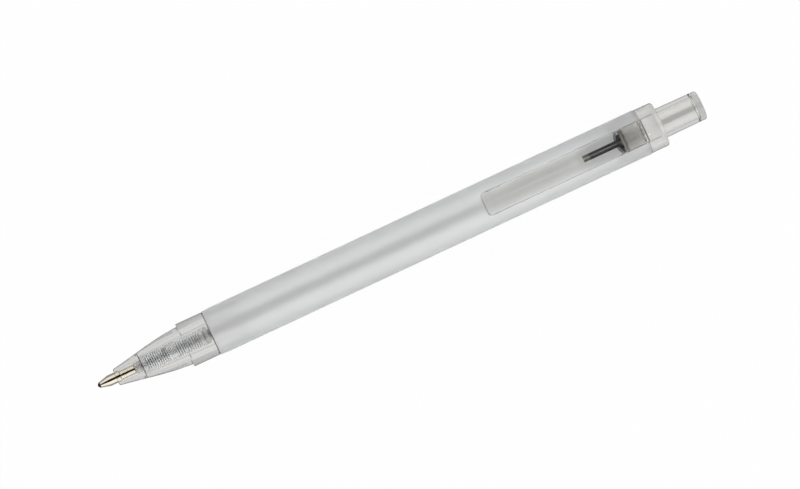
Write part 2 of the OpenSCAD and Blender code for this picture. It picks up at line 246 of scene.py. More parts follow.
# Stage: white round about, with a dark strip overhead that runs along the pen. The strip's edges
# are slopes across the pen, and the horizon's are heights of a direction of length 1
WORLD_LIGHT = 1.52
NEAR_SIDE_GAIN = 0.12
STRIP_LIGHT = 0.02
STRIP_START = math.tan(math.radians(21))
STRIP_END = math.tan(math.radians(26))
HORIZON_NEAR_LIGHT = 0.9
HORIZON_FAR_LIGHT = 0.5
HORIZON_START = math.sin(math.radians(2))
HORIZON_END = math.sin(math.radians(24))
LEAST_RISE = 0.001

# The floor's glow is a painted pool of light that falls off with the distance from the pen, with a
# painted shadow in a strip under the pen. Its lengths are in metres
FLOOR_DROP = 0.00002
FLOOR_HALF = 3.0
FLOOR_COLOUR = (0.9, 0.9, 0.9, 1)
FLOOR_ALONG = 0.2
FLOOR_GLOW = 0.97
FLOOR_GLOSSY_GLOW = 0.75
FLOOR_NEAR_GLOW = 0.66
FLOOR_SHADOW_GLOW = 0.75
FLOOR_SHADOW_W = 0.003
FLOOR_FAR_GLOW = 0.1
FLOOR_NEAR = 0.025
FLOOR_FAR = 0.1


def make_world():
    world = bpy.data.worlds.new("studio")
    world.use_nodes = True
    tree = world.node_tree
    tree.nodes.clear()
    direction = add(tree, "ShaderNodeTexCoord").outputs["Generated"]
    parts = add(tree, "ShaderNodeSeparateXYZ", {0: direction}).outputs
    sideways = maths(tree, "ABSOLUTE", parts["Y"])
    upwards = maths(tree, "MAXIMUM", parts["Z"], LEAST_RISE)
    slope = maths(tree, "DIVIDE", sideways, upwards)
    glow = between(tree, slope, STRIP_LIGHT, WORLD_LIGHT, STRIP_START, STRIP_END, "SMOOTHSTEP")
    low_light = between(tree, parts["Y"], HORIZON_NEAR_LIGHT, HORIZON_FAR_LIGHT, -1.0, 1.0)
    horizon = between(
        tree, parts["Z"], low_light, 1.0, HORIZON_START, HORIZON_END, "SMOOTHSTEP"
    )
    glow = maths(tree, "MULTIPLY", glow, horizon)
    side_gain = between(tree, parts["Y"], 1 + NEAR_SIDE_GAIN, 1 - NEAR_SIDE_GAIN, -1.0, 1.0)
    glow = maths(tree, "MULTIPLY", glow, side_gain)
    white = (1, 1, 1, 1)
    light = add(tree, "ShaderNodeBackground", {"Color": white, "Strength": glow}).outputs[0]
    seen = add(tree, "ShaderNodeBackground", {"Color": white, "Strength": 1.0}).outputs[0]
    is_camera = add(tree, "ShaderNodeLightPath").outputs["Is Camera Ray"]
    mixed = add(tree, "ShaderNodeMixShader", {0: is_camera, 1: light, 2: seen}).outputs[0]
    add(tree, "ShaderNodeOutputWorld", {"Surface": mixed})
    bpy.context.scene.world = world


def make_floor():
    material, tree = new_material("floor_white")
    path = add(tree, "ShaderNodeLightPath").outputs
    spot = add(tree, "ShaderNodeNewGeometry").outputs["Position"]
    stretch = {0: spot, 1: (FLOOR_ALONG, 1, 1)}
    scaled = add(tree, "ShaderNodeVectorMath", stretch, operation="MULTIPLY").outputs[0]
    distance = add(tree, "ShaderNodeVectorMath", {0: scaled}, operation="LENGTH")
    # Painted pool of light: the glow is brightest near the pen and falls off away from it
    fade = between(
        tree, distance.outputs["Value"], FLOOR_NEAR_GLOW, FLOOR_FAR_GLOW, FLOOR_NEAR, FLOOR_FAR,
        "SMOOTHSTEP",
    )
    # Painted shadow: the glow is dimmer in a strip under the pen's axis
    across = add(tree, "ShaderNodeSeparateXYZ", {0: spot}).outputs["Y"]
    across = maths(tree, "ABSOLUTE", across)
    shadow_strip = between(tree, across, FLOOR_SHADOW_GLOW, 1.0, 0.0, FLOOR_SHADOW_W, "SMOOTHSTEP")
    fade = maths(tree, "MULTIPLY", fade, shadow_strip)
    glossy = maths(tree, "MULTIPLY", path["Is Glossy Ray"], FLOOR_GLOSSY_GLOW)
    glow = maths(tree, "MAXIMUM", glossy, path["Is Transmission Ray"])
    glow = maths(tree, "MULTIPLY", glow, fade)
    seen = maths(tree, "MAXIMUM", path["Is Glossy Ray"], path["Is Transmission Ray"])
    glow = maths(tree, "MAXIMUM", glow, path["Is Camera Ray"])
    seen = maths(tree, "MAXIMUM", seen, path["Is Camera Ray"])
    share = maths(tree, "MULTIPLY", seen, FLOOR_GLOW)
    lit = add(tree, "ShaderNodeBsdfDiffuse", {"Color": FLOOR_COLOUR}).outputs[0]
    white = add(tree, "ShaderNodeEmission", {"Color": (1, 1, 1, 1), "Strength": glow}).outputs[0]
    finished(tree, add(tree, "ShaderNodeMixShader", {0: share, 1: lit, 2: white}).outputs[0])
    mesh = bpy.data.meshes.new("floor")
    corners = [(-1, -1), (1, -1), (1, 1), (-1, 1)]
    points = [(x * FLOOR_HALF, y * FLOOR_HALF, -FLOOR_DROP) for x, y in corners]
    mesh.from_pydata(points, [], [(0, 1, 2, 3)])
    floor = bpy.data.objects.new("floor", mesh)
    bpy.context.scene.collection.objects.link(floor)
    mesh.materials.append(material)


make_world()
make_floor()
bpy.context.scene.view_settings.view_transform = "Standard"


# Materials. A plastic's colour clouds between its tint and its deep tint, and its light is the
# share of the lamps' red, green and blue that it lets through
NOSE_TINT = (0.97, 0.965, 0.95)
NOSE_TINT_DEEP = (0.94, 0.935, 0.915)
CAP_TINT = (0.985, 0.98, 0.97)
CAP_TINT_DEEP = (0.965, 0.96, 0.945)
CLEAR_LIGHT = (0.97, 0.965, 0.96)
FROST_TINT = (0.955, 0.96, 0.96)
FROST_TINT_DEEP = (0.935, 0.94, 0.94)
FROST_LIGHT = (0.9, 0.91, 0.92)
FROST_THROUGH = 0.74
PLASTIC_IOR = 1.49
# Painted shade at the outline: the colours that clear and frosted plastic darken to where the
# surface turns away
CLEAR_RIM_SHADE = (0.24, 0.23, 0.215)
FROST_RIM_SHADE = (0.6, 0.61, 0.62)

# Painted shade in the joints, the nose's front end and ring groove, the sleeve's front and the tube
# behind a station, and the wet ink on the ball's socket
SEAM_SHADE_COLOUR = (0.16, 0.15, 0.14)
SEAM_SHADE_HALF_W = 0.16
SLEEVE_SHADE_W = 0.7
TUBE_SHADE_S = 112.6
TUBE_SHADE_L = 1.0
TUBE_SHADE_COLOUR = (0.42, 0.42, 0.38)
WET_INK_COLOUR = (0.015, 0.015, 0.018)
WET_INK_RAGGED = 0.15
WET_INK_FADE = 0.1


def clear_plastic(name, tint, deep_tint, low, high, through=1.0, shaded_stations=(), shade_w=SEAM_SHADE_HALF_W):
    """Clear or hazy moulded plastic of a roughness from low to high, with painted shade at its
    outline and at the stations given.
    """
    material, tree = new_material(name)
    spot = places(tree)
    clouds = noise(tree, spot, 6.0)
    wear = noise(tree, spot, 0.8, 4.0)
    waves = noise(tree, spot, 3.0)
    colour = blended(tree, clouds, tint, deep_tint)
    # Painted shade: darker towards the outline, where the surface turns away
    colour = rim_shaded(tree, colour, CLEAR_RIM_SHADE, 0.55, 0.9)
    # Painted shade near the stations given: joints, the nose's front end and ring groove, the
    # sleeve's front
    colour = station_shaded(tree, colour, SEAM_SHADE_COLOUR, shaded_stations, shade_w)
    inputs = {
        "Base Color": colour,
        "Roughness": between(tree, wear, low, high),
        "IOR": PLASTIC_IOR,
        "Transmission Weight": through,
        "Normal": bump(tree, waves, 0.006),
    }
    shader = add(tree, "ShaderNodeBsdfPrincipled", inputs).outputs[0]
    finished(tree, lit_through(tree, shader, CLEAR_LIGHT))
    return material


def frosted_plastic(name):
    """Frosted plastic: a fine satin grain over a milky wall, with painted shade at its outline and
    at the joint with the nose.
    """
    material, tree = new_material(name)
    spot = places(tree)
    clouds = noise(tree, spot, 14.0)
    wear = noise(tree, spot, 1.2, 4.0)
    grain = noise(tree, spot, 0.12, 3.0)
    colour = blended(tree, clouds, FROST_TINT, FROST_TINT_DEEP)
    # Painted shade: darker towards the outline, where the surface turns away
    colour = rim_shaded(tree, colour, FROST_RIM_SHADE, 0.75, 1.0)
    # Painted shade in the joint with the nose
    colour = station_shaded(tree, colour, SEAM_SHADE_COLOUR, (JOINT_S,), SEAM_SHADE_HALF_W)
    inputs = {
        "Base Color": colour,
        "Roughness": between(tree, wear, 0.33, 0.42),
        "IOR": PLASTIC_IOR,
        "Transmission Weight": FROST_THROUGH,
        "Normal": bump(tree, grain, 0.006),
    }
    shader = add(tree, "ShaderNodeBsdfPrincipled", inputs).outputs[0]
    finished(tree, lit_through(tree, shader, FROST_LIGHT))
    return material


def turned_metal(name, bright, dull, low, high, ring_size, ring_depth, inked_s=None):
    """Turned or drawn metal with fine rings round the pen's axis, and with ink up to a station."""
    material, tree = new_material(name)
    rings = noise(tree, places(tree, (1, 0.03, 0.03)), ring_size, 2.0)
    spots = noise(tree, places(tree), 0.5, 4.0)
    colour = blended(tree, spots, bright, dull)
    if inked_s:
        ragged = between(tree, spots, -WET_INK_RAGGED, WET_INK_RAGGED)
        edge = maths(tree, "ADD", station_of(tree), ragged)
        start, end = inked_s + WET_INK_FADE, inked_s - WET_INK_FADE
        share = between(tree, edge, 0.0, 1.0, start, end, "SMOOTHSTEP")
        colour = blended(tree, share, colour, WET_INK_COLOUR)
    inputs = {
        "Base Color": colour,
        "Metallic": 1.0,
        "Roughness": between(tree, spots, low, high),
        "Normal": bump(tree, rings, ring_depth),
    }
    finished(tree, add(tree, "ShaderNodeBsdfPrincipled", inputs).outputs[0])
    return material


def moulded_plastic(name, first, second, low, high, through=0.0, shade_s=None):
    """Coloured moulded plastic of a roughness from low to high, with painted shade behind a
    station.
    """
    material, tree = new_material(name)
    spot = places(tree)
    grain = noise(tree, spot, 0.5, 4.0)
    colour = blended(tree, noise(tree, spot, 2.0), first, second)
    # Painted shade: darker behind the station
    if shade_s:
        edge = maths(tree, "ADD", station_of(tree), grain)
        share = between(tree, edge, 0.0, 1.0, shade_s, shade_s + TUBE_SHADE_L, "SMOOTHSTEP")
        colour = blended(tree, share, colour, TUBE_SHADE_COLOUR)
    inputs = {
        "Base Color": colour,
        "Roughness": between(tree, grain, low, high),
        "IOR": PLASTIC_IOR,
        "Transmission Weight": through,
        "Normal": bump(tree, grain, 0.004),
    }
    finished(tree, add(tree, "ShaderNodeBsdfPrincipled", inputs).outputs[0])
    return material


# Painted shade at the nose's front end, its ring groove and its joint with the barrel
nose_clear = clear_plastic(
    "nose_clear", NOSE_TINT, NOSE_TINT_DEEP, low=0.01, high=0.04, shaded_stations=(NOSE_S, RING_S, JOINT_S)
)
# Painted shade in the cap's joint with the barrel
cap_clear = clear_plastic("cap_clear", CAP_TINT, CAP_TINT_DEEP, low=0.03, high=0.09, shaded_stations=(CAP_S,))
# Painted shade: the sleeve's front, seen in the window, darkened over the sleeve shade width
cap_satin = clear_plastic(
    "cap_satin", CAP_TINT, CAP_TINT_DEEP, low=0.3, high=0.4, shaded_stations=(SLEEVE_S,),
    shade_w=SLEEVE_SHADE_W,
)
cap_hazy = clear_plastic("cap_hazy", CAP_TINT, CAP_TINT_DEEP, low=0.3, high=0.4, through=0.6)
# Painted shade in the joint with the barrel
cap_root = clear_plastic(
    "cap_root", CAP_TINT, CAP_TINT_DEEP, low=0.2, high=0.3, through=0.72, shaded_stations=(CAP_S,)
)
button_clear = clear_plastic("button_clear", NOSE_TINT, NOSE_TINT_DEEP, low=0.03, high=0.09)
frosted = frosted_plastic("frosted_plastic")
# Painted shade: the window's cut walls are dark grey and their outer edge near black, where there
# is shade and refraction
window_wall_shade = moulded_plastic(
    "window_wall_shade", (0.26, 0.28, 0.31), (0.22, 0.235, 0.26), low=0.3, high=0.45
)
window_rim_shade = moulded_plastic(
    "window_rim_shade", (0.05, 0.055, 0.06), (0.04, 0.042, 0.045), low=0.2, high=0.35
)
# Painted shade: the gate's recess is dark grey-brown; its roughness is the gate's own
gate_shade = moulded_plastic(
    "gate_shade", (0.36, 0.34, 0.3), (0.28, 0.265, 0.24), low=0.5, high=0.7
)
white_plastic = moulded_plastic(
    "white_plastic", (0.78, 0.78, 0.77), (0.72, 0.72, 0.71), low=0.25, high=0.4, through=0.5
)
# Painted shade on the tube's rear end, where it shows through the slot
tube_plastic = moulded_plastic(
    "tube_plastic", (0.88, 0.88, 0.86), (0.84, 0.84, 0.81), low=0.08, high=0.14, through=0.9,
    shade_s=TUBE_SHADE_S,
)
black_ink = moulded_plastic(
    "black_ink", (0.008, 0.008, 0.011), (0.013, 0.013, 0.017), low=0.08, high=0.18
)
black_plastic = moulded_plastic(
    "black_plastic", (0.03, 0.03, 0.033), (0.045, 0.045, 0.048), low=0.25, high=0.4
)
nickel_silver = turned_metal(
    "nickel_silver", (0.6, 0.55, 0.465), (0.545, 0.495, 0.41), low=0.05, high=0.12,
    ring_size=0.05, ring_depth=0.001, inked_s=0.62,
)
ball_metal = turned_metal(
    "ball_metal", (0.05, 0.05, 0.06), (0.03, 0.03, 0.035), low=0.08, high=0.16,
    ring_size=0.1, ring_depth=0.0005,
)
spring_steel = turned_metal(
    "spring_steel", (0.8, 0.82, 0.84), (0.7, 0.72, 0.74), low=0.5, high=0.65,
    ring_size=0.15, ring_depth=0.0004,
)

CAD_LOOKS = {
    "writing_ball": ball_metal,
    "tip_holder": white_plastic,
    "ink_tube": tube_plastic,
    "ink": black_ink,
    "rotor": black_plastic,
}
for node_name, look in CAD_LOOKS.items():
    mesh = cad_nodes[node_name].data
    mesh.materials.clear()
    mesh.materials.append(look)


# Mesh helpers
NEARLY_STRAIGHT = math.radians(150)
MOST_OF_A_SIDE = 0.4


def arc(centre, radius, start, end, steps=8):
    """Points round a corner, from one angle to the other, in degrees."""
    turns = [math.radians(start + (end - start) * i / steps) for i in range(steps + 1)]
    return [(centre[0] + radius * math.cos(t), centre[1] + radius * math.sin(t)) for t in turns]


def softened(outline, radius, steps=3, closed=True):
    """The outline with each of its sharp corners rounded."""
    made = []
    last = len(outline) - 1
    for i, point in enumerate(outline):
        here = Vector(point)
        if not closed and i in (0, last):
            made.append(point)
            continue
        to_before = Vector(outline[i - 1]) - here
        to_after = Vector(outline[(i + 1) % len(outline)]) - here
        turn = to_before.angle(to_after)
        if turn > NEARLY_STRAIGHT:
            made.append(point)
            continue
        shorter = min(to_before.length, to_after.length)
        reach = min(radius / math.tan(turn / 2), shorter * MOST_OF_A_SIDE)
        first = here + to_before.normalized() * reach
        second = here + to_after.normalized() * reach
        for k in range(steps + 1):
            t = k / steps
            curve = first * (1 - t) ** 2 + here * 2 * t * (1 - t) + second * t ** 2
            made.append((curve.x, curve.y))
    return made


def solid(name, bm):
    """A new object from a closed bmesh, with its faces turned outwards."""
    bmesh.ops.recalc_face_normals(bm, faces=bm.faces)
    mesh = bpy.data.meshes.new(name)
    bm.to_mesh(mesh)
    bm.free()
    made = bpy.data.objects.new(name, mesh)
    bpy.context.scene.collection.objects.link(made)
    return made


def skinned(name, rings, closed=True, caps=False):
    """A solid through rings of points. A ring of one point is a pole."""
    bm = bmesh.new()
    rows = [[bm.verts.new(p) for p in ring] for ring in rings]
    pairs = list(zip(rows, rows[1:]))
    if closed:
        pairs.append((rows[-1], rows[0]))
    for a, b in pairs:
        count = max(len(a), len(b))
        if count == 1:
            continue
        for k in range(count):
            n = (k + 1) % count
            corners = [a[k % len(a)], a[n % len(a)], b[n % len(b)], b[k % len(b)]]
            bm.faces.new(list(dict.fromkeys(corners)))
    if caps:
        bm.faces.new(rows[0])
        bm.faces.new(rows[-1])
    return solid(name, bm)


def turned(name, outline, segments=SEGMENTS):
    """A solid turned about the pen's axis, from [radius, station] points."""
    rings = [
        [place(r, math.tau * k / segments, s) for k in range(segments if r > 0 else 1)]
        for r, s in outline
    ]
    return skinned(name, rings, closed=outline[0][0] > 0)


def prism(name, outline, start, end, angle=0.0, slant=0.0):
    """A bar along the pen with a section of [across, height] points, turned about the axis.

    Its rear face slants by as much as asked from one side to the other.
    """
    turn = Matrix.Rotation(angle, 3, "X")
    centre = Vector((0, 0, AXIS_Z))
    half = max(across for across, height in outline)
    rings = []
    for station, rise in ((start, 0.0), (end, slant)):
        ring = [over(y, z, station + rise * (1 - y / half) / 2) for y, z in outline]
        rings.append([turn @ (point - centre) + centre for point in ring])
    return skinned(name, rings, closed=False, caps=True)


def combined(base, other, operation):
    """The base with the other solid cut from it or joined to it. The other one goes."""
    modifier = base.modifiers.new("shape", "BOOLEAN")
    modifier.operation = operation
    modifier.solver = "EXACT"
    modifier.object = other
    bpy.context.view_layer.update()
    shaped = base.evaluated_get(bpy.context.evaluated_depsgraph_get())
    mesh = bpy.data.meshes.new_from_object(shaped)
    base.modifiers.clear()
    base.data = mesh
    bpy.data.objects.remove(other)
    return base


def dressed(piece, look, node_name, body=None):
    """The piece shaded, given its material and its place in the frame."""
    mesh = piece.data
    mesh.materials.clear()
    mesh.materials.append(look)
    mesh.shade_smooth()
    mesh.set_sharp_from_angle(angle=SHARP_ANGLE)
    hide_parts(node_name)
    if body:
        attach(piece, body)
    return piece


def marked(piece, look, chosen):
    """Gives another material to the faces whose middle passes a test of radius and station."""
    mesh = piece.data
    mesh.materials.append(look)
    index = len(mesh.materials) - 1
    for face in mesh.polygons:
        corners = [mesh.vertices[i].co for i in face.vertices]
        centre = Vector([(min(row) + max(row)) / 2 for row in zip(*corners)])
        radius = math.hypot(centre.y, centre.z - AXIS_Z) / MM
        if chosen(radius, (centre.x - TIP_X) / MM):
            face.material_index = index


# Writing point
BALL_R = 0.5
TIP_R = 1.2
SHANK_R = 1.02
STEM_R = 0.8
CHANNEL_R = 0.3
SOCKET_R = 0.52
LIP_S = 0.3
LIP_WALL = 0.1
CONE_END_S = 2.6
HEAD_END_S = 5.4
SHANK_END_S = 8.8
STEM_END_S = 12.5
SHOULDER_L = 0.15
POINT_EDGE_R = 0.05
SOCKET_STEPS = 12


def make_point():
    lip_r = math.sqrt(BALL_R ** 2 - (BALL_R - LIP_S) ** 2) + LIP_WALL
    socket_start = math.degrees(math.acos((LIP_S - BALL_R) / SOCKET_R))
    socket_end = math.degrees(math.asin(CHANNEL_R / SOCKET_R))
    socket = []
    for i in range(SOCKET_STEPS + 1):
        t = math.radians(socket_end + (socket_start - socket_end) * i / SOCKET_STEPS)
        socket.append((SOCKET_R * math.sin(t), BALL_R + SOCKET_R * math.cos(t)))
    outside = softened([
        (lip_r, LIP_S),
        (TIP_R, CONE_END_S),
        (TIP_R, HEAD_END_S - SHOULDER_L),
        (SHANK_R, HEAD_END_S),
        (SHANK_R, SHANK_END_S - SHOULDER_L),
        (SHANK_R - SHOULDER_L, SHANK_END_S),
        (STEM_R, SHANK_END_S),
        (STEM_R, STEM_END_S),
        (CHANNEL_R, STEM_END_S),
    ], POINT_EDGE_R, closed=False)
    piece = turned("point_metal", outside + socket)
    dressed(piece, nickel_silver, "point", "refill")


# Spring: one wire with closed ends and a closed group in the middle
WIRE_R = 0.15
COIL_R = 1.8
CLOSED_PITCH = 0.31
FRONT_PITCH = 0.49
REAR_PITCH = 0.51
SPRING_START_S = 10.46
SPRING_END_S = 24.9
GROUP_START_S = 16.5
GROUP_END_S = 18.5
CLOSED_END_L = 0.9
WIRE_SIDES = 12
TURN_STEPS = 40
LOOK_AHEAD = 0.01


def spring_pitch(station):
    """The spring's pitch at a station."""
    if station < SPRING_START_S + CLOSED_END_L or station > SPRING_END_S - CLOSED_END_L:
        return CLOSED_PITCH
    if GROUP_START_S < station < GROUP_END_S:
        return CLOSED_PITCH
    return FRONT_PITCH if station < GROUP_START_S else REAR_PITCH


def make_spring():
    station = SPRING_START_S
    angle = 0.0
    rings = []
    while station < SPRING_END_S:
        pitch = spring_pitch(station)
        centre = place(COIL_R, angle, station)
        ahead = place(COIL_R, angle + LOOK_AHEAD, station + pitch * LOOK_AHEAD / math.tau)
        outward = place(1, angle, station) - place(0, angle, station)
        side = (ahead - centre).cross(outward).normalized()
        outward = outward.normalized()
        turns = [math.tau * k / WIRE_SIDES for k in range(WIRE_SIDES)]
        rings.append([
            centre + (outward * math.cos(t) + side * math.sin(t)) * WIRE_R * MM for t in turns
        ])
        angle += math.tau / TURN_STEPS
        station += pitch / TURN_STEPS
    piece = skinned("spring_wire", rings, closed=False, caps=True)
    dressed(piece, spring_steel, "spring")
    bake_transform(piece)


# Nose cone
NOSE_TIP_R = 1.875
NOSE_BULGE = 0.26
BULGE_SCALE = 27 / 4
NOSE_RIM_R = 0.3
NOSE_STEP = 0.58
RING_W = 0.2
RING_DEPTH = 0.05
GATE_ANGLE = math.radians(-16.4)
GATE_S = 15.4
GATE_L = 0.8
GATE_W = 0.75
GATE_DEPTH = 0.15
LAND_R = 1.28
THROAT_R = 1.6
THROAT_S = 5.3
THROAT_TAPER_L = 2.4
SEAT_R = 2.11
SPRING_BORE_END_R = 2.71
BORE_EDGE_R = 0.06
NOSE_STEPS = 48
PAST_RIM = 1.5
BELOW_GATE = 0.05

# Snap beads, which hold the nose cone and the cap in the barrel
BEAD_H = 0.12
BEAD_L = 0.8
BEAD_FIT = 0.03
BEAD_STEPS = 8
NOSE_BEAD_S = (JOINT_S + SPIGOT_S) / 2
CAP_BEAD_S = 127.4


def bead(radius, station, height):
    """Points of a low bead on a round wall, along the pen."""
    points = []
    for i in range(BEAD_STEPS + 1):
        rise = height * math.sin(math.pi * i / BEAD_STEPS)
        points.append((radius + rise, station - BEAD_L / 2 + BEAD_L * i / BEAD_STEPS))
    return points


def make_nose():
    length = STEP_S - NOSE_S
    back_r = NOSE_COLLAR_R - NOSE_STEP

    def taper(u):
        bulge = BULGE_SCALE * NOSE_BULGE * u * u * (1 - u)
        radius = NOSE_TIP_R + (back_r - NOSE_TIP_R) * u + bulge
        return (radius, NOSE_S + u * length)

    rim_u = NOSE_RIM_R / length
    rim_centre = (taper(rim_u)[0] - NOSE_RIM_R, NOSE_S + NOSE_RIM_R)
    outside = [(LAND_R, NOSE_S)] + arc(rim_centre, NOSE_RIM_R, -90, 0)
    ring_u = (RING_S - NOSE_S) / length
    ring_half = RING_W / 2 / length
    ring_start, ring_end = ring_u - ring_half, ring_u + ring_half
    shares = [i / NOSE_STEPS for i in range(1, NOSE_STEPS + 1)]
    outside += [taper(u) for u in shares if rim_u * PAST_RIM < u < ring_start]
    outside += [taper(ring_start), (taper(ring_u)[0] - RING_DEPTH, RING_S), taper(ring_end)]
    outside += [taper(u) for u in shares if u > ring_end]
    outside += arc((NOSE_COLLAR_R - EDGE_R, STEP_S + EDGE_R), EDGE_R, -90, 0, 6)
    outside += [(NOSE_COLLAR_R, JOINT_S - EDGE_BEVEL), (NOSE_COLLAR_R - EDGE_BEVEL, JOINT_S)]
    outside += [(SLEEVE_R, JOINT_S)] + bead(SLEEVE_R, NOSE_BEAD_S, BEAD_H)
    outside += arc((SLEEVE_R - EDGE_R, SPIGOT_S - EDGE_R), EDGE_R, 0, 90, 4)
    inside = [
        (SPRING_BORE_END_R, SPIGOT_S),
        (SEAT_R, SEAT_S),
        (THROAT_R, SEAT_S),
        (THROAT_R, THROAT_S + THROAT_TAPER_L),
        (LAND_R, THROAT_S),
    ]
    piece = turned("nose_cone_clear", outside + softened(inside, BORE_EDGE_R, closed=False))
    gate_r = taper((GATE_S + GATE_L / 2 - NOSE_S) / length)[0] - GATE_DEPTH
    half = GATE_W / 2
    gate = [(-half, gate_r), (half, gate_r), (half, COLLAR_R), (-half, COLLAR_R)]
    pocket = prism("gate_cutter", gate, GATE_S, GATE_S + GATE_L, GATE_ANGLE)
    piece = combined(piece, pocket, "DIFFERENCE")
    dressed(piece, nose_clear, "nose_cone", "pen_body")

    def in_gate(radius, station):
        surface = taper((station - NOSE_S) / length)[0]
        between_ends = GATE_S <= station <= GATE_S + GATE_L
        return between_ends and gate_r - BELOW_GATE < radius < surface - NEAR_WALL

    # Painted shade in the gate's recess
    marked(piece, gate_shade, in_gate)


# Barrel, with the keyhole under the clip: a slot, and a window behind it with an arch in front
FRONT_BEVEL_L = 2.0
WINDOW_ANGLE = math.radians(28.8)
WINDOW_L = 6.9
ARCH_R = 3.3
ARCH_SLOPE = 0.6
SIDE_SLOPE_SHARE = 0.7
ARCH_RIM = 0.15
SLOT_W = 1.35
SLOT_L = 7.5
KEYHOLE_LOW = 1.0
UNDER_BORE = 0.05
OVER_WALL = 0.02
WINDOW_TOL = 0.2
ARCH_TOL = 0.3
ARCH_STEPS = 20


def keyhole(inset):
    """The keyhole's outline in plan, as [across, station] points, drawn in by an inset."""
    half = BARREL_R * math.sin(WINDOW_ANGLE) - SIDE_SLOPE_SHARE * inset
    slot = SLOT_W / 2
    radius = ARCH_R - inset
    centre_s = CAP_S - WINDOW_L + ARCH_R
    arch_start = math.degrees(math.asin(slot / radius))
    arch_end = math.degrees(math.asin(half / radius))
    right = [(slot, CAP_S - WINDOW_L - SLOT_L)]
    for i in range(ARCH_STEPS + 1):
        t = math.radians(arch_start + (arch_end - arch_start) * i / ARCH_STEPS)
        right.append((radius * math.sin(t), centre_s - radius * math.cos(t)))
    right.append((half, CAP_S + CUTTER_PAST))
    return right + [(-across, station) for across, station in reversed(right)]


def make_barrel():
    edge = EDGE_BEVEL
    outline = [(BORE_R, JOINT_S), (COLLAR_R - edge, JOINT_S), (COLLAR_R, JOINT_S + edge)]
    outline += [(BARREL_R, JOINT_S + FRONT_BEVEL_L), (BARREL_R, CAP_S - edge)]
    outline += [(BARREL_R - edge, CAP_S), (BORE_R, CAP_S)]
    for bead_s in (CAP_BEAD_S, NOSE_BEAD_S):
        outline += reversed(bead(BORE_R, bead_s, BEAD_H + BEAD_FIT))
    piece = turned("barrel_frosted", outline, WIDE_SEGMENTS)
    wide, middle, narrow = keyhole(0.0), keyhole(ARCH_RIM), keyhole(ARCH_SLOPE)

    def wrapped(plan, radius):
        return [over(y, math.sqrt(radius ** 2 - y ** 2), s) for y, s in plan]

    rings = [[over(y, KEYHOLE_LOW, s) for y, s in narrow], wrapped(narrow, BORE_R - UNDER_BORE)]
    rings += [wrapped(middle, BARREL_R - ARCH_RIM), wrapped(wide, BARREL_R + OVER_WALL)]
    rings += [[over(y, BARREL_R + CUTTER_PAST, s) for y, s in wide]]
    cutter = skinned("keyhole_cutter", rings, closed=False, caps=True)
    piece = combined(piece, cutter, "DIFFERENCE")
    dressed(piece, frosted, "barrel", "pen_body")
    arch_s = CAP_S - WINDOW_L
    rim_r = BARREL_R - ARCH_RIM

    def in_window(radius, station):
        in_wall = BORE_R + WINDOW_TOL < radius < BARREL_R - NEAR_WALL
        return in_wall and arch_s - ARCH_TOL < station < CAP_S - WINDOW_TOL

    def in_rim(radius, station):
        return radius > rim_r and in_window(radius, station)

    # Painted shade on the window's cut walls and its outer edge
    marked(piece, window_wall_shade, in_window)
    marked(piece, window_rim_shade, in_rim)


# Cap: the sleeve, its guide bore and grooves, and the collar
SLEEVE_WALL = 0.4
SLEEVE_RING_L = 0.43
SLEEVE_RING_H = 0.05
SLEEVE_RING_STEPS = 6
COLLAR_RIM_R = 0.5
GUIDE_BEVEL = 0.1
GROOVE_COUNT = 4
GROOVE_W = 2.6
RAMP_W = 3.83
RAMP_H = 0.8

# Clip
CLIP_HALF_W = 2.675
CLIP_T = 1.2
CLIP_GAP = 1.25
CLIP_DROP = 0.5
CLIP_CORNER_R = 1.0
CLIP_CROWN_H = 0.25
CLIP_DRAFT = 0.22
CLIP_EDGE_R = 0.12
CLIP_LINE_H = 0.06
CLIP_LINE_W = 0.22
CLIP_SIDE_LEAN = 10
CLIP_TOP_LEAN = 5
CLIP_TOP = BARREL_R + CLIP_GAP + CLIP_T
FOOT_L = 4.6
FOOT_GAP = 0.1
FOOT_START_S = CLIP_S + CLIP_CORNER_R
FOOT_END_S = FOOT_START_S + FOOT_L
FILLET_S = CAP_S - CLIP_GAP
ROOT_S = 131.9
ROOT_BASE = COLLAR_R - SLEEVE_WALL
ROOT_DEEP = 4.2
ROOT_FLARE = 1.5
ROOT_START_L = 0.1

# Sections and points of the clip, and what keeps its thin front end from folding over
DRAFT_STEPS = 4
CORNER_STEPS = 10
FOOT_STEPS = 24
CLIP_STEPS = 16
FILLET_STEPS = 10
ROOT_STEPS = 14
CROWN_STEPS = 10
LINE_STEPS = 4
LEAST_FROM_END = 0.02
LEAST_SIDE_H = 0.05
SIDE_PER_EDGE = 2.2


def clip_top(station):
    """The height of the clip's middle line at a station."""
    ridge = CLIP_TOP - CLIP_DROP * (ROOT_S - station) / (ROOT_S - CLIP_S)
    if station <= CAP_S:
        return ridge
    rise = 1 - (ROOT_S - station) / (ROOT_S - CAP_S)
    return min(ridge, ROOT_BASE + (CLIP_TOP - ROOT_BASE) * max(0, 1 - rise ** 2) ** ROOT_FLARE)


def clip_low(station):
    """The height of the clip's underside at a station."""
    under_free = CLIP_TOP - CLIP_T - CLIP_DROP
    if station > CAP_S:
        return ROOT_DEEP
    if station > FILLET_S:
        return BARREL_R + math.sqrt(max(0, CLIP_GAP ** 2 - (station - FILLET_S) ** 2))
    if station > FOOT_END_S:
        return under_free + CLIP_DROP * (station - FOOT_END_S) / (FILLET_S - FOOT_END_S)
    if station > FOOT_START_S:
        height = under_free - BARREL_R - FOOT_GAP
        return under_free - height * math.sin(math.pi * (station - FOOT_START_S) / FOOT_L) ** 2
    return under_free


def clip_half(from_end, inset):
    """Half of the clip's width at a distance from its free end, drawn in by an inset."""
    corner_r = CLIP_CORNER_R - inset
    reach = min(max(from_end - inset, 0.0), corner_r)
    return CLIP_HALF_W - inset - corner_r + math.sqrt(corner_r ** 2 - (corner_r - reach) ** 2)


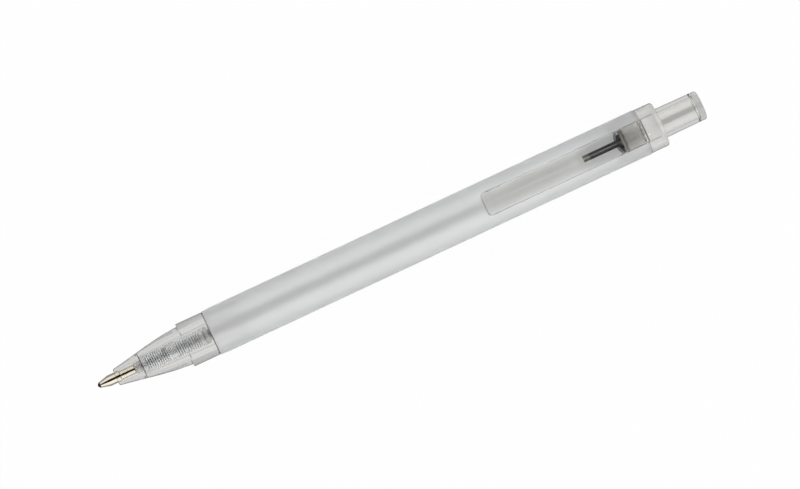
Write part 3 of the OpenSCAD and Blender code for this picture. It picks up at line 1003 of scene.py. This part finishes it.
def clip_section(station):
    """The clip's section as [across, height] points: flat below, crowned, with a middle line."""
    from_end = max(station - CLIP_S, LEAST_FROM_END)
    risen = min(from_end / CLIP_DRAFT, 1.0)
    low = clip_low(station)
    full = clip_top(station)
    wide = clip_half(from_end, 0.0)
    narrow = clip_half(from_end, CLIP_DRAFT * risen)
    crest = low + (full - low) * risen
    top = crest - CLIP_LINE_H * risen
    crown_h = CLIP_CROWN_H * (narrow / CLIP_HALF_W) ** 2 * risen
    side_top = max(top - crown_h, low + LEAST_SIDE_H)
    edge = min(CLIP_EDGE_R, (side_top - low) / SIDE_PER_EDGE)
    points = arc((wide - edge, low + edge), edge, -90, -CLIP_SIDE_LEAN, 5)
    points += arc((narrow - edge, side_top - edge), edge, CLIP_SIDE_LEAN, 90 - CLIP_TOP_LEAN, 5)
    line = CLIP_LINE_W / 2
    shares = [1 - i / CROWN_STEPS for i in range(1, CROWN_STEPS + 1)]
    crown = [line + (narrow - edge - line) * share for share in shares]
    points += [(y, side_top + (top - side_top) * (1 - (y / narrow) ** 2)) for y in crown]
    foot = points[-1][1]
    swell = [math.pi / 2 * i / LINE_STEPS for i in range(1, LINE_STEPS + 1)]
    points += [(line * math.cos(t), foot + (crest - foot) * math.sin(t)) for t in swell]
    mirrored = [(-y, z) for y, z in reversed(points[:-1])]
    return points + mirrored


def steps_along(start, length, steps):
    """Stations at even steps behind a start."""
    return [start + length * i / steps for i in range(1, steps + 1)]


def quarter_sines(steps, first):
    """Sines of even steps of a quarter turn, from the first step asked for."""
    return [math.sin(math.pi / 2 * i / steps) for i in range(first, first + steps)]


def make_clip():
    root_l = ROOT_S - CAP_S - ROOT_START_L
    stations = [CLIP_S] + steps_along(CLIP_S, CLIP_DRAFT, DRAFT_STEPS)
    stations += steps_along(CLIP_S + CLIP_DRAFT, CLIP_CORNER_R - CLIP_DRAFT, CORNER_STEPS)
    stations += steps_along(FOOT_START_S, FOOT_L, FOOT_STEPS)
    stations += steps_along(FOOT_END_S, FILLET_S - FOOT_END_S, CLIP_STEPS)
    stations += [CAP_S - CLIP_GAP * (1 - sine) for sine in quarter_sines(FILLET_STEPS, 1)]
    stations += [CAP_S + ROOT_START_L + root_l * sine for sine in quarter_sines(ROOT_STEPS, 0)]
    rings = [[over(y, z, s) for y, z in clip_section(s)] for s in stations]
    return skinned("clip", rings, closed=False, caps=True)


def groove_section(half, low_r, high_r):
    """A bar's section with a round top, as [across, height] points."""
    reach = math.degrees(math.asin(half / high_r))
    top = arc((0, 0), high_r, 90 - reach, 90 + reach, 8)
    return [(-half, low_r), (half, low_r)] + top


def make_cap():
    lip = SLEEVE_WALL / 2
    outline = arc((SLEEVE_R - lip, SLEEVE_S + lip), lip, -90, 0, 6)
    ring_start = SLEEVE_S + SLEEVE_WALL
    ring_count = int((CAP_BEAD_S - BEAD_L - ring_start) / SLEEVE_RING_L)
    for i in range(ring_count * SLEEVE_RING_STEPS + 1):
        dip = SLEEVE_RING_H * (1 - math.cos(math.tau * i / SLEEVE_RING_STEPS)) / 2
        outline.append((SLEEVE_R - dip, ring_start + SLEEVE_RING_L * i / SLEEVE_RING_STEPS))
    outline += bead(SLEEVE_R, CAP_BEAD_S, BEAD_H)
    outline += [(SLEEVE_R, CAP_S), (COLLAR_R - EDGE_BEVEL, CAP_S), (COLLAR_R, CAP_S + EDGE_BEVEL)]
    outline += arc((COLLAR_R - COLLAR_RIM_R, END_S - COLLAR_RIM_R), COLLAR_RIM_R, 0, 90, 10)
    outline += [(GUIDE_R + GUIDE_BEVEL, END_S), (GUIDE_R, END_S - GUIDE_BEVEL), (GUIDE_R, SLEEVE_S)]
    piece = turned("cap_with_clip", outline, WIDE_SEGMENTS)
    cut_start = SLEEVE_S - CUTTER_PAST
    groove = groove_section(GROOVE_W / 2, GUIDE_R - CUTTER_DEEP, GROOVE_R)
    for k in range(GROOVE_COUNT):
        angle = math.tau * k / GROOVE_COUNT
        cutter = prism("groove_cutter", groove, cut_start, STOP_S, angle)
        piece = combined(piece, cutter, "DIFFERENCE")
    ramp = groove_section(RAMP_W / 2, GUIDE_R - CUTTER_DEEP, GROOVE_R)
    for k in range(GROOVE_COUNT):
        angle = math.tau * (k + 0.5) / GROOVE_COUNT
        cutter = prism("ramp_cutter", ramp, cut_start, SLEEVE_S, angle, RAMP_H)
        piece = combined(piece, cutter, "DIFFERENCE")
    piece = combined(piece, make_clip(), "UNION")
    dressed(piece, cap_clear, "clip_cap", "pen_body")
    inner_r = GROOVE_R + ON_WALL
    last_s = END_S - END_TOL
    marked(piece, cap_satin, lambda r, s: r < inner_r and s < CAP_S)
    marked(piece, cap_hazy, lambda r, s: r < inner_r and CAP_S < s < last_s)
    marked(piece, cap_root, lambda r, s: r > inner_r and CAP_S < s < last_s)


# Push button
TOOTH_H = 0.75
TOOTH_COUNT = 8
TOOTH_STEPS = 24
TOOTH_BASE = 0.1
BUTTON_END_R = 3.25
BUTTON_RIM_R = 0.5
BUTTON_BORE_RIM_R = 0.8
BUTTON_ROOF = 1.3
LUG_COUNT = 4
LUG_W = 1.6
LUG_S = 124.2
LUG_L = 1.8
LUG_SUNK = 0.4


def make_button():
    segments = TOOTH_COUNT * TOOTH_STEPS
    bore_end_s = PEN_L - BUTTON_ROOF
    teeth_end_s = SLEEVE_S + TOOTH_H + TOOTH_BASE

    def crown(k):
        return SLEEVE_S + TOOTH_H * (k % TOOTH_STEPS / (TOOTH_STEPS - 1))

    def ring(radius, station):
        return [place(radius, math.tau * k / segments, station) for k in range(segments)]

    def crown_ring(radius):
        return [place(radius, math.tau * k / segments, crown(k)) for k in range(segments)]

    outside = [(BUTTON_R, teeth_end_s), (BUTTON_R, END_S)]
    outside += arc((BUTTON_END_R - BUTTON_RIM_R, PEN_L - BUTTON_RIM_R), BUTTON_RIM_R, 0, 90, 10)
    bore_rim = BUTTON_BORE_RIM_R
    inside = arc((BUTTON_BORE_R - bore_rim, bore_end_s - bore_rim), bore_rim, 90, 0, 8)
    inside += [(BUTTON_BORE_R, teeth_end_s)]
    rings = [crown_ring(BUTTON_R)] + [ring(r, s) for r, s in outside]
    rings += [[place(0, 0, PEN_L)]]
    rings += [[place(0, 0, bore_end_s)]] + [ring(r, s) for r, s in inside]
    rings += [crown_ring(BUTTON_BORE_R)]
    piece = skinned("push_button_clear", rings)
    lug = groove_section(LUG_W / 2, BUTTON_BORE_R + LUG_SUNK, LUG_R)
    for k in range(LUG_COUNT):
        bar = prism("lug", lug, LUG_S, LUG_S + LUG_L, math.tau * k / LUG_COUNT)
        piece = combined(piece, bar, "UNION")
    dressed(piece, button_clear, "push_button", "button")


make_point()
make_spring()
make_nose()
make_barrel()
make_cap()
make_button()
